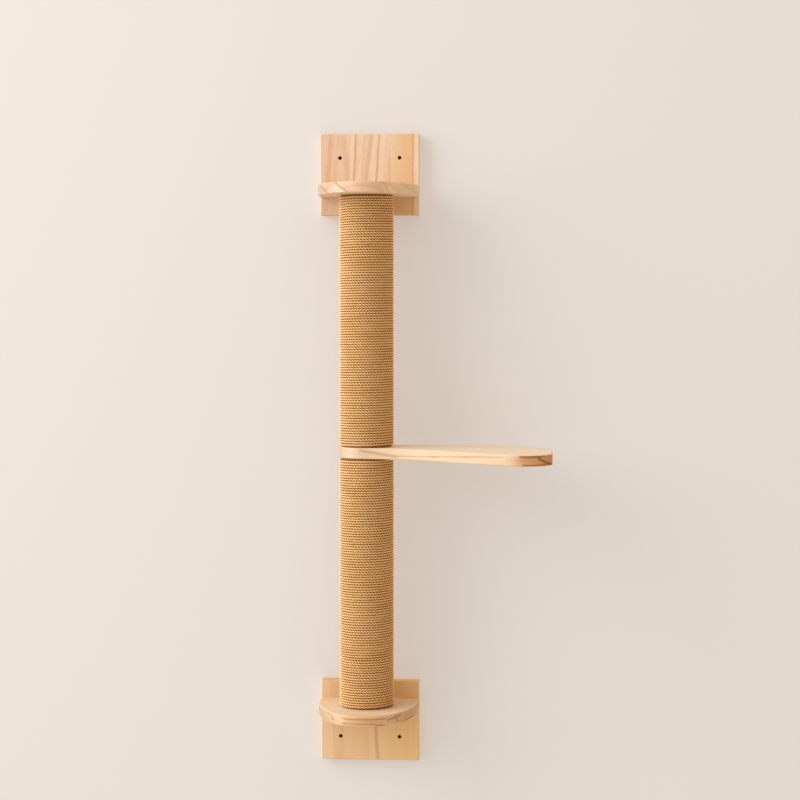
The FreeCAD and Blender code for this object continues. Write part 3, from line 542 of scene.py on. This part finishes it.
# Bracket screws: zinc-plated countersunk screws driven from behind each plate into its bracket board.
# Turned and plated, so fine turning lines and a slightly cloudy grey show under the gloss.
PLATING_GRAIN = (420.0, 420.0, 420.0)
SCRATCH_GRAIN = (2600.0, 300.0, 2600.0)
ZINC_DULL = paint(192, 193, 192)
ZINC_BRIGHT = paint(222, 222, 218)
ZINC_RELIEF = 0.0001
zinc, zinc_tree, zinc_shader = new_material("zinc_plated_steel")
zinc_place = zinc_tree.nodes.new("ShaderNodeTexCoord").outputs["Object"]
plating = speckle(zinc_tree, zinc_place, PLATING_GRAIN, detail=4.0, roughness=0.6).outputs["Fac"]
scratch = speckle(zinc_tree, zinc_place, SCRATCH_GRAIN).outputs["Fac"]
zinc_colour = mix_paint(zinc_tree, "MIX", plating, ZINC_DULL, ZINC_BRIGHT)
zinc_tree.links.new(zinc_colour, zinc_shader.inputs["Base Color"])
zinc_rough = blend_in(zinc_tree, scratch, 0.25, 0.75, 0.26, 0.46)
zinc_tree.links.new(zinc_rough, zinc_shader.inputs["Roughness"])
zinc_shader.inputs["Metallic"].default_value = 1.0
give_bump(zinc_tree, zinc_shader, scratch, 0.12, ZINC_RELIEF)
for half in HALVES:
    dress(f"{half}_bracket_screws", zinc)


# Post tubes: spiral-wound brown paper tubes, glued in layers, that give each post its strength.
# Their joints run round at a slant and the paper is fibrous, though the rope hides all but the ends.
PULP_GRAIN = (700.0, 700.0, 260.0)
KRAFT_CLOUD_GRAIN = (40.0, 40.0, 18.0)
KRAFT_LIGHT = paint(170, 126, 84)
KRAFT_DARK = paint(150, 106, 66)
PULP_TINT = paint(196, 172, 146)
KRAFT_RELIEF = 0.0002
kraft, kraft_tree, kraft_shader = new_material("kraft_paper_tube")
kraft_place = kraft_tree.nodes.new("ShaderNodeTexCoord").outputs["Object"]
pulp = speckle(kraft_tree, kraft_place, PULP_GRAIN, detail=4.0, roughness=0.65).outputs["Fac"]
kraft_cloud = speckle(kraft_tree, kraft_place, KRAFT_CLOUD_GRAIN).outputs["Fac"]
kraft_ground = mix_paint(kraft_tree, "MIX", kraft_cloud, KRAFT_LIGHT, KRAFT_DARK)
pulp_shade = blend_in(kraft_tree, pulp, 0.35, 0.7, 0.0, 0.5)
kraft_colour = mix_paint(kraft_tree, "MULTIPLY", pulp_shade, kraft_ground, PULP_TINT)
kraft_tree.links.new(kraft_colour, kraft_shader.inputs["Base Color"])
kraft_rough = blend_in(kraft_tree, pulp, 0.3, 0.7, 0.78, 0.92)
kraft_tree.links.new(kraft_rough, kraft_shader.inputs["Roughness"])
give_bump(kraft_tree, kraft_shader, pulp, 0.3, KRAFT_RELIEF)
for half in HALVES:
    dress(f"{half}_post_tube", kraft)


# Plugs and inserts: beech discs glued into the tube ends, each with a steel threaded insert knocked in.
# They take the bolt at the bracket and the stud at the step, and are seen only when the post is apart.
for half in HALVES:
    for end in ("inner", "outer"):
        dress(f"{half}_post_{end}_plug", beech)
        dress(f"{half}_post_{end}_insert", zinc)


# Rope windings: one length of thin three-strand natural-fibre rope round each post, row tight on row.
# It is glued to the tube as it is wound, so rows sit a little unevenly and loose fibres stand off it.
# The frame cuts each post's rope into five windings, and each is made here as the real twisted rope.
POST_AXIS = Vector((0.0, -0.076, 0.0))
ROPE_CENTRE_RADIUS = 0.04058
ROPE_RADIUS = 0.00230
ROPE_FIRST_HEIGHT = 0.01096
ROPE_FIRST_ANGLE = math.pi / 2 - 0.2454
ROPE_SWEEP = 616.24
ROPE_RISE = 0.00062976
WINDINGS_PER_POST = 5
RINGS_PER_TURN = 214
LAY_LENGTH = 0.0140
STRANDS = 3
POINTS_PER_STRAND = 5
CORNERS = STRANDS * POINTS_PER_STRAND
GROOVE_RADIUS = 0.56
STRAND_RADIUS = 0.464
STRAND_OFFSET = 0.536
TAIL_ANGLE = 0.08
WINDING_SWEEP = ROPE_SWEEP / WINDINGS_PER_POST
NOISE_SEEDS = {"upper": 0.0, "lower": 40.0}
PUSH_WAVER = (0.00018, 30.0, 1.7)
LIFT_WAVER = (0.00016, 22.0, 9.3)
TWIST_WAVER = (2.4, 11.0, 4.1)
THICKNESS_WAVER = (0.035, 45.0, 6.6)
FIBRES_PER_WINDING = 150
FIBRE_RADIUS = 0.00004
FIBRE_POINTS = 4
FIBRE_ROOT = 0.92 * ROPE_RADIUS - 0.0002
FIBRE_DRIFT = (0.012, 0.035)
FIBRE_RISE = (0.0001, 0.00045)
FIBRE_LEAN = 0.0009
FIBRE_TAPER = 0.25
BARE_ENDS = 4 * math.pi


def strand_section():
    """A flat closed outline of three strands laid together, the groove between two of them first.
    The sizes of groove and strand are shares of the rope's radius."""
    outline = []
    for step in range(CORNERS):
        around = 2 * math.pi * step / CORNERS
        off_strand = (around % (2 * math.pi / STRANDS)) - math.pi / STRANDS
        side = STRAND_OFFSET * math.sin(off_strand)
        reach = GROOVE_RADIUS
        if abs(side) < STRAND_RADIUS:
            reach = STRAND_OFFSET * math.cos(off_strand) + math.sqrt(STRAND_RADIUS ** 2 - side ** 2)
        reach = max(reach, GROOVE_RADIUS) * ROPE_RADIUS
        outline.append((reach * math.cos(around), reach * math.sin(around)))
    return outline


def rope_waver(half, along, kind):
    """How uneven the rope is at one place along it. A kind of unevenness is its size, its waves in a metre
    and its own layer of the noise."""
    size, waves, layer = kind
    return noise.noise(Vector((along * waves, NOISE_SEEDS[half], layer))) * size


def rope_place(half, turned, spread=0.0):
    """A point on the rope's centre line after a turn round the post in radians, or spread out from there."""
    angle = ROPE_FIRST_ANGLE + turned
    along = turned * ROPE_CENTRE_RADIUS
    radius = ROPE_CENTRE_RADIUS + rope_waver(half, along, PUSH_WAVER) + spread
    x = radius * math.cos(angle)
    y = radius * math.sin(angle)
    z = ROPE_FIRST_HEIGHT + ROPE_RISE * turned + rope_waver(half, along, LIFT_WAVER)
    if half == "lower":
        x = -x
        z = -z
    return Vector((x, y, z)) + POST_AXIS


section_curve = bpy.data.curves.new("strand_section", "CURVE")
section_curve.dimensions = "2D"
section_spline = section_curve.splines.new("POLY")
section_points = strand_section()
section_spline.points.add(len(section_points) - 1)
for point, (across, up) in zip(section_spline.points, section_points):
    point.co = (across, up, 0.0, 1.0)
section_spline.use_cyclic_u = True
section_object = bpy.data.objects.new("strand_section", section_curve)
bpy.context.collection.objects.link(section_object)


def as_mesh(name, curve):
    """Puts a curve into the scene and makes it a mesh."""
    thing = bpy.data.objects.new(name, curve)
    bpy.context.collection.objects.link(thing)
    bpy.ops.object.select_all(action="DESELECT")
    thing.select_set(True)
    bpy.context.view_layer.objects.active = thing
    bpy.ops.object.convert(target="MESH")
    return bpy.context.view_layer.objects.active


def mark_points(mesh, **marks):
    """Writes one value for each point of the mesh, for every mark that is given."""
    for label, values in marks.items():
        attribute = mesh.attributes.new(label, "FLOAT", "POINT")
        attribute.data.foreach_set("value", values)


def wound_rope(half, count):
    """The twisted rope of one winding as a mesh. Each point knows how far along the rope and round its
    strands it is, how far it stands out of the gaps between the rows, and how high on its strand it is."""
    start = WINDING_SWEEP * (count - 1)
    end = WINDING_SWEEP * count
    if count == 1:
        start -= TAIL_ANGLE
    if count == WINDINGS_PER_POST:
        end += TAIL_ANGLE
    rings = round((end - start) / (2 * math.pi) * RINGS_PER_TURN)
    name = f"{half}_twisted_rope_{count}"
    curve = bpy.data.curves.new(name, "CURVE")
    curve.dimensions = "3D"
    curve.twist_mode = "Z_UP"
    curve.bevel_mode = "OBJECT"
    curve.bevel_object = section_object
    curve.use_fill_caps = True
    spline = curve.splines.new("POLY")
    spline.points.add(rings)
    for step, point in enumerate(spline.points):
        turned = start + (end - start) * step / rings
        along = turned * ROPE_CENTRE_RADIUS
        point.co = (*rope_place(half, turned), 1.0)
        slack = rope_waver(half, along, TWIST_WAVER)
        point.tilt = (2 * math.pi * along / LAY_LENGTH + slack) % (2 * math.pi)
        point.radius = 1.0 + rope_waver(half, along, THICKNESS_WAVER)
    rope = as_mesh(name, curve)
    bpy.ops.object.shade_smooth()
    crests = [math.hypot(across, up) / ROPE_RADIUS for across, up in section_points]
    along_values = []
    around_values = []
    out_values = []
    crest_values = []
    for vertex in rope.data.vertices:
        ring = min(vertex.index // CORNERS, rings)
        off_axis = vertex.co - POST_AXIS
        along_values.append((start + (end - start) * ring / rings) * ROPE_CENTRE_RADIUS)
        around_values.append(vertex.index % CORNERS / CORNERS)
        out_values.append((math.hypot(off_axis.x, off_axis.y) - ROPE_CENTRE_RADIUS) / ROPE_RADIUS)
        crest_values.append(crests[vertex.index % CORNERS])
    mark_points(rope.data, along=along_values, around=around_values, stand_out=out_values,
                crest=crest_values)
    return rope


def loose_fibres(half, count):
    """Short hairs that have worked loose and stand a little off one winding."""
    draw = random.Random(count + WINDINGS_PER_POST * HALVES.index(half))
    name = f"{half}_loose_fibres_{count}"
    curve = bpy.data.curves.new(name, "CURVE")
    curve.dimensions = "3D"
    curve.bevel_depth = FIBRE_RADIUS
    curve.bevel_resolution = 0
    curve.use_fill_caps = True
    for fibre in range(FIBRES_PER_WINDING):
        turned = WINDING_SWEEP * (count - 1) + draw.uniform(0.0, WINDING_SWEEP)
        turned = min(max(turned, BARE_ENDS), ROPE_SWEEP - BARE_ENDS)
        drift = draw.choice((-1.0, 1.0)) * draw.uniform(*FIBRE_DRIFT)
        rise = draw.uniform(*FIBRE_RISE)
        side = draw.uniform(-0.5, 0.5) * ROPE_RADIUS
        lean = draw.uniform(-FIBRE_LEAN, FIBRE_LEAN)
        spline = curve.splines.new("POLY")
        spline.points.add(FIBRE_POINTS - 1)
        for step, point in enumerate(spline.points):
            spot = rope_place(half, turned + drift * step, FIBRE_ROOT + rise * step * step)
            spot.z += side + lean * step
            point.co = (*spot, 1.0)
            point.radius = 1.0 - FIBRE_TAPER * step
    fibres = as_mesh(name, curve)
    points = len(fibres.data.vertices)
    mark_points(fibres.data, along=[WINDING_SWEEP * count] * points, around=[0.5] * points,
                stand_out=[1.0] * points, crest=[1.0] * points)
    return fibres


for half in HALVES:
    for count in range(1, WINDINGS_PER_POST + 1):
        winding = wound_rope(half, count)
        fibres = loose_fibres(half, count)
        bpy.ops.object.select_all(action="DESELECT")
        fibres.select_set(True)
        winding.select_set(True)
        bpy.context.view_layer.objects.active = winding
        bpy.ops.object.join()
        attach(winding, "post")
        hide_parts(f"{half}_rope_winding_{count}")
bpy.data.objects.remove(section_object)

YARN_GRAIN = (60.0, 160.0, 0.0)
ROPE_TONE_GRAIN = (7.0, 17.0, 0.0)
ROPE_RELIEF = 0.0003
ROPE_TAN = paint(255, 212, 148)
ROPE_STRAW = paint(255, 226, 169)
ROPE_CREAM = paint(255, 239, 198)
YARN_TINT = paint(226, 186, 136)
PAINTED_GAP_SHADE = paint(168, 107, 16)
sisal, sisal_tree, sisal_shader = new_material("natural_fibre_rope")


def point_mark(label):
    """A mark of the rope's points, as a value for the rope's material."""
    node = sisal_tree.nodes.new("ShaderNodeAttribute")
    node.attribute_name = label
    return node.outputs["Fac"]


def rope_speckle(first, second, grain):
    """Noise laid out over two values of the rope."""
    spot = sisal_tree.nodes.new("ShaderNodeCombineXYZ")
    sisal_tree.links.new(first, spot.inputs["X"])
    sisal_tree.links.new(second, spot.inputs["Y"])
    return speckle(sisal_tree, spot.outputs["Vector"], grain, detail=3.0, roughness=0.6).outputs["Fac"]


along_mark = point_mark("along")
around_mark = point_mark("around")
yarn = rope_speckle(around_mark, along_mark, YARN_GRAIN)
strand_number = maths(sisal_tree, "FLOOR", maths(sisal_tree, "MULTIPLY", around_mark, float(STRANDS)))
rope_tone = rope_speckle(along_mark, strand_number, ROPE_TONE_GRAIN)
rope_steps = [(0.25, ROPE_TAN), (0.5, ROPE_STRAW), (0.75, ROPE_CREAM)]
rope_ground = colour_steps(sisal_tree, rope_tone, rope_steps)
yarn_shade = blend_in(sisal_tree, yarn, 0.4, 0.75, 0.0, 0.8)
rope_fibre = mix_paint(sisal_tree, "MULTIPLY", yarn_shade, rope_ground, YARN_TINT)
# Painted shade: the gaps between the rows and the grooves between the strands are darkened by multiplying in
# a dark brown.
row_gap_shade = blend_in(sisal_tree, point_mark("stand_out"), 0.44, 0.80, 1.0, 0.0)
strand_groove_shade = blend_in(sisal_tree, point_mark("crest"), 0.58, 0.90, 0.95, 0.0)
gap_shade = maths(sisal_tree, "MAXIMUM", row_gap_shade, strand_groove_shade)
rope_colour = mix_paint(sisal_tree, "MULTIPLY", gap_shade, rope_fibre, PAINTED_GAP_SHADE)
sisal_tree.links.new(rope_colour, sisal_shader.inputs["Base Color"])
rope_rough = blend_in(sisal_tree, yarn, 0.3, 0.7, 0.50, 0.66)
sisal_tree.links.new(rope_rough, sisal_shader.inputs["Roughness"])
sisal_shader.inputs["Specular IOR Level"].default_value = 0.0
give_bump(sisal_tree, sisal_shader, yarn, 0.45, ROPE_RELIEF)
for half in HALVES:
    for count in range(1, WINDINGS_PER_POST + 1):
        bpy.data.objects[f"{half}_twisted_rope_{count}"].data.materials.append(sisal)


# Rope staples: steel wire staples driven over each end of the rope, through the tube and into the plug.
# They are the same plated wire as the screws and sit at the back, facing the wall.
for half in HALVES:
    dress(f"{half}_rope_staples", zinc)


# Step stud: a steel rod threaded at both ends that joins the two posts through the step board.
# It clamps the step and is hidden inside the plugs and the board.
dress("step_stud", zinc)


# Step board: the pine step, sawn to a round neck at the post and a wide rounded corner in front.
# Its grain runs out along the step, so the far end shows end grain and the top long pale streaks.
# Its top is painted paler than its edges, as painted light from above.
STEP_HEIGHT = 0.0
STEP_LINE = paint(198, 154, 108)
END_EDGE_SHADE = paint(158, 115, 75)
# The step's far end tint is partly its end grain and partly painted shade on the end turned from the lamp.
step_pine = pine_board(
    "step_pine", turn=(0.0, math.radians(-91.0), 0.0), pith=(0.0, -0.150, 0.170),
    ring_width=0.0150, wander=0.0035, seed=52.4, late_tint=paint(248, 237, 221), tone_way="Depth",
    tones=[((0.0, -0.252, STEP_HEIGHT), paint(222, 195, 166)),
           ((0.0, -0.180, STEP_HEIGHT), paint(227, 204, 177)),
           ((0.0, -0.110, STEP_HEIGHT), paint(228, 204, 176)),
           ((0.0, -0.033, STEP_HEIGHT), paint(228, 204, 175))],
    # The top's tone is paler than the edges: painted light from above.
    face_tone=paint(230, 211, 188), far_end_grain_and_shade=(0.206, paint(246, 220, 186)),
    lines=[((-0.012, 0.0, 0.0055), (0.056, 0.0, -0.0046), 0.0064, 0.0010, STEP_LINE, 0.7),
           ((0.042, 0.0, -0.0029), (0.122, 0.0, -0.0006), 0.0028, 0.0004, STEP_LINE, 0.7),
           ((0.098, 0.0, -0.0016), (0.172, 0.0, 0.0028), 0.0028, 0.0004, STEP_LINE, 0.7),
           ((0.150, 0.0, 0.0015), (0.222, 0.0, 0.0052), 0.0028, 0.0004, STEP_LINE, 0.7),
           # The two dark lines along the far end's top and bottom edges are painted shade under those edges.
           ((0.240, 0.0, 0.0062), (0.282, 0.0, 0.0056), 0.0050, 0.0004, END_EDGE_SHADE, 0.85),
           ((0.244, 0.0, -0.0066), (0.284, 0.0, -0.0064), 0.0040, 0.0004, END_EDGE_SHADE, 0.75),
           ((0.274, 0.0, 0.0058), (0.296, 0.0, -0.0082), 0.0040, 0.0006, paint(229, 196, 154), 0.8),
           ((0.268, 0.0, 0.0040), (0.294, 0.0, -0.0092), 0.0050, 0.0010, paint(127, 81, 40), 0.8)])
dress("step_board", step_pine)


# Post bolts and washers: flat-head bolts with washers, through the bracket boards into the posts' ends.
# They draw the rope-wound posts tight against the boards and the step.
for half in HALVES:
    dress(f"{half}_bolt_washer", zinc)
    dress(f"{half}_post_bolt", zinc)


# Studio: a pale wall behind the plates, a pale floor under them, and soft light from the upper left.
# Only the camera sees them, and only from the front and from above: all other light passes through.
# The light of the room is a little warmer and weaker on the right, away from the lamp.
WALL_GAP = 0.001
WALL_WIDTH = 9.0
FLOOR_HEIGHT = -0.95
WALL_PAINT = paint(230, 226, 222)
WALL_GLOW = 0.36
FLOOR_PAINT = paint(231, 227, 222)
FLOOR_GLOW = 0.3
PAINTED_HOLE_SHADE = paint(70, 30, 6)
DARK_SPOT_RADIUS = 0.0080
DARK_SPOT_EDGE = 0.0085
LIGHT_STOP_RADIUS = 0.0034
LIGHT_STOP_EDGE = 0.0038


def stage_paint(name, colour, glow, hole_shade=None):
    """Matt paint that glows a little of itself, so that shadows on it stay light. The fourth argument, when
    given, is a dark colour of painted shade for the spots behind the plates' screw holes, which also stop
    the light from behind."""
    material, tree, shader = new_material(name)
    tree.nodes.remove(shader)
    output = tree.nodes["Material Output"]
    if hole_shade:
        wall_place = tree.nodes.new("ShaderNodeTexCoord").outputs["Object"]
        wall_parts = tree.nodes.new("ShaderNodeSeparateXYZ")
        tree.links.new(wall_place, wall_parts.inputs["Vector"])
        off_middle = maths(tree, "ABSOLUTE", wall_parts.outputs["X"])
        across = maths(tree, "SUBTRACT", off_middle, WALL_HOLE_ACROSS)
        height = maths(tree, "ABSOLUTE", wall_parts.outputs["Y"])
        up = maths(tree, "SUBTRACT", height, WALL_HOLE_HEIGHT)
        off_hole = maths(tree, "MULTIPLY_ADD", across, across, maths(tree, "MULTIPLY", up, up))
        off_hole = maths(tree, "SQRT", off_hole)
        behind = blend_in(tree, off_hole, DARK_SPOT_RADIUS, DARK_SPOT_EDGE, 1.0, 0.0)
        light_stop = blend_in(tree, off_hole, LIGHT_STOP_RADIUS, LIGHT_STOP_EDGE, 1.0, 0.0)
        # Painted shade: behind each screw hole the wall is a dark brown spot, so that the hole looks deep.
        colour = mix_paint(tree, "MIX", behind, colour, hole_shade)
    matt = tree.nodes.new("ShaderNodeBsdfDiffuse")
    feed(tree, matt.inputs["Color"], colour)
    own_light = tree.nodes.new("ShaderNodeEmission")
    feed(tree, own_light.inputs["Color"], colour)
    face = tree.nodes.new("ShaderNodeMixShader")
    face.inputs[0].default_value = glow
    tree.links.new(matt.outputs[0], face.inputs[1])
    tree.links.new(own_light.outputs[0], face.inputs[2])
    clear = tree.nodes.new("ShaderNodeBsdfTransparent")
    backs = tree.nodes.new("ShaderNodeNewGeometry").outputs["Backfacing"]
    seen = tree.nodes.new("ShaderNodeLightPath").outputs["Is Camera Ray"]
    if hole_shade:
        seen = maths(tree, "MAXIMUM", seen, light_stop)
    front = maths(tree, "SUBTRACT", 1.0, backs)
    shown = maths(tree, "MULTIPLY", front, seen)
    choice = tree.nodes.new("ShaderNodeMixShader")
    tree.links.new(shown, choice.inputs[0])
    tree.links.new(clear.outputs[0], choice.inputs[1])
    tree.links.new(face.outputs[0], choice.inputs[2])
    tree.links.new(choice.outputs[0], output.inputs["Surface"])
    return material


bpy.ops.mesh.primitive_plane_add(size=WALL_WIDTH, location=(0.0, WALL_GAP, 0.0),
                                 rotation=(math.pi / 2, 0.0, 0.0))
wall = bpy.context.object
wall.name = "studio_wall"
wall.data.materials.append(stage_paint("pale_wall", WALL_PAINT, WALL_GLOW, PAINTED_HOLE_SHADE))
bpy.ops.mesh.primitive_plane_add(size=WALL_WIDTH, location=(0.0, -WALL_WIDTH / 2, FLOOR_HEIGHT))
floor = bpy.context.object
floor.name = "studio_floor"
floor.data.materials.append(stage_paint("pale_floor", FLOOR_PAINT, FLOOR_GLOW))

LAMP_SIDE_LIGHT = paint(255, 250, 243)
FAR_SIDE_LIGHT = paint(240, 218, 190)
BACKDROP = paint(255, 247, 237)
ROOM_STRENGTH = 0.87
world = bpy.data.worlds.new("studio_world")
world.use_nodes = True
sky = world.node_tree
sky_parts = sky.nodes.new("ShaderNodeSeparateXYZ")
sky.links.new(sky.nodes.new("ShaderNodeTexCoord").outputs["Generated"], sky_parts.inputs["Vector"])
shade_side = blend_in(sky, sky_parts.outputs["X"], -0.5, 0.8)
room_light = mix_paint(sky, "MIX", shade_side, LAMP_SIDE_LIGHT, FAR_SIDE_LIGHT)
# What the camera and the gloss see of the room is one plain colour.
sky_path = sky.nodes.new("ShaderNodeLightPath").outputs
plain_view = maths(sky, "MAXIMUM", sky_path["Is Camera Ray"], sky_path["Is Glossy Ray"])
plain_view = maths(sky, "MAXIMUM", plain_view, sky_path["Is Transmission Ray"])
room_light = mix_paint(sky, "MIX", plain_view, room_light, BACKDROP)
sky.links.new(room_light, sky.nodes["Background"].inputs["Color"])
sky.nodes["Background"].inputs["Strength"].default_value = ROOM_STRENGTH
bpy.context.scene.world = world

LAMP_PLACE = Vector((-3.10, -1.05, 1.58))
LAMP_AIM = Vector((0.0, -0.08, 0.0))
lamp_data = bpy.data.lights.new("window_lamp", "AREA")
lamp_data.shape = "DISK"
lamp_data.size = 3.8
lamp_data.energy = 131.0
lamp_data.color = paint(252, 253, 255)[:3]
lamp = bpy.data.objects.new("window_lamp", lamp_data)
lamp.location = LAMP_PLACE
lamp.rotation_euler = (LAMP_AIM - LAMP_PLACE).to_track_quat("-Z", "Y").to_euler()
bpy.context.collection.objects.link(lamp)

CAMERA_DROP = 0.0471
CAMERA_TURN = 0.0731
camera_data = bpy.data.cameras.new("photo_camera")
camera_data.lens = 89.9
camera_data.sensor_width = 36.0
camera = bpy.data.objects.new("photo_camera", camera_data)
camera.location = (0.2811, -3.1959, 0.2290)
camera.rotation_euler = (math.pi / 2 - CAMERA_DROP, 0.0, CAMERA_TURN)
bpy.context.collection.objects.link(camera)
bpy.context.scene.camera = camera
bpy.context.scene.view_settings.view_transform = "Standard"
